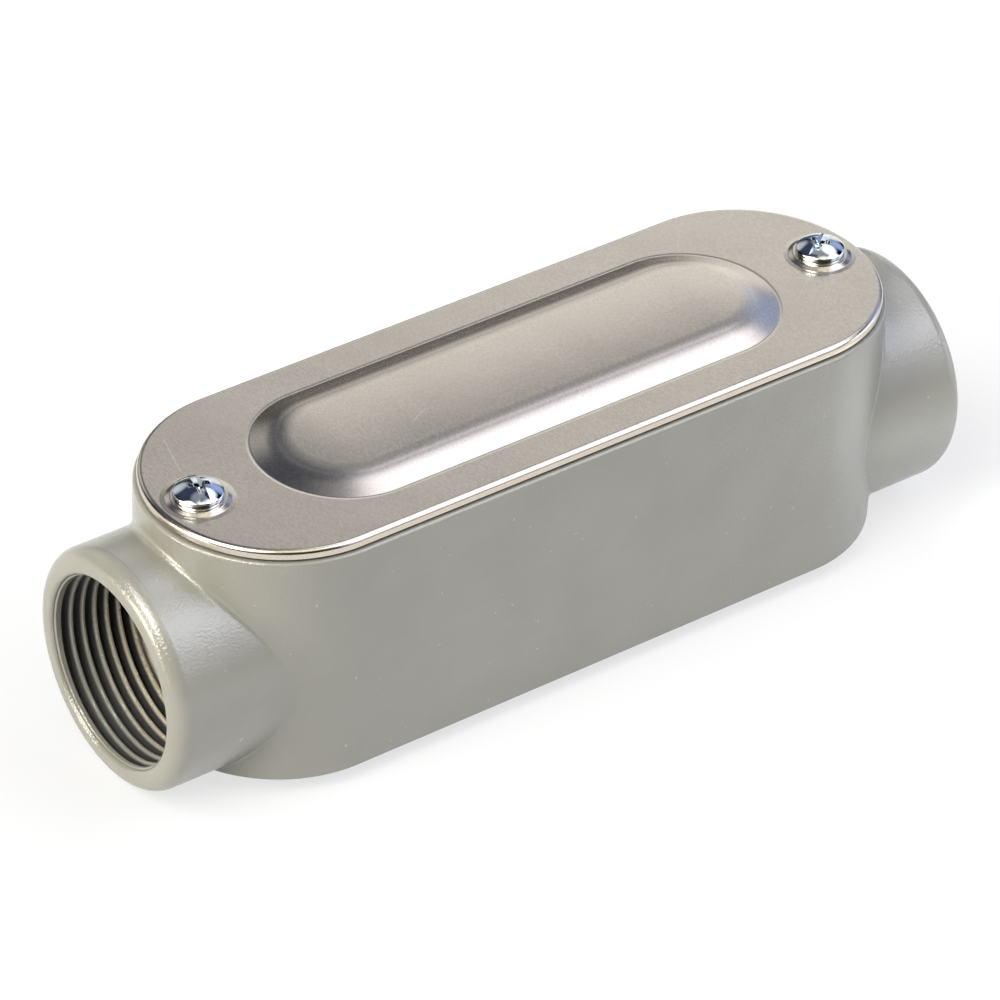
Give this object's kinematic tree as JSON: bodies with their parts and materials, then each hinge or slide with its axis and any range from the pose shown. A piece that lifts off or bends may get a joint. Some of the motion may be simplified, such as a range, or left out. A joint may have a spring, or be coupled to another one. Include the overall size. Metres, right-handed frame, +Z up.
{
  "type": "conduit body",
  "caption": "Straight-through conduit body: oblong cast box with a round threaded hub on each end and a screwed sheet cover with a raised oblong field.",
  "frame": {"origin": "on the surface that the hubs rest on, under the middle of the body", "axes": "+X along the conduit towards the right hub, +Y across the body, +Z up through the cover"},
  "size_m": [0.1558, 0.0456, 0.0498],
  "materials": {
    "body_paint": "glossy light grey paint on cast aluminium",
    "gasket_rubber": "matt dark rubber",
    "cover_sheet": "bare stamped aluminium sheet with a fine rolled grain",
    "screw_plating": "bright zinc plate"
  },
  "bodies": {
    "casting": {"body_casting": "body_paint", "gasket": "gasket_rubber"},
    "cover": {"cover": "cover_sheet"},
    "screw_left": {"screw_left": "screw_plating"},
    "screw_right": {"screw_right": "screw_plating"}
  },
  "joints": [
    {"name": "cover_lift", "type": "slide", "parent": "casting", "child": "cover", "axis": [0, 0, 1], "range_m": [0, 0.03]},
    {"name": "screw_left_out", "type": "slide", "parent": "cover", "child": "screw_left", "axis": [0, 0, 1], "range_m": [0, 0.006]},
    {"name": "screw_right_out", "type": "slide", "parent": "cover", "child": "screw_right", "axis": [0, 0, 1], "range_m": [0, 0.006]}
  ]
}
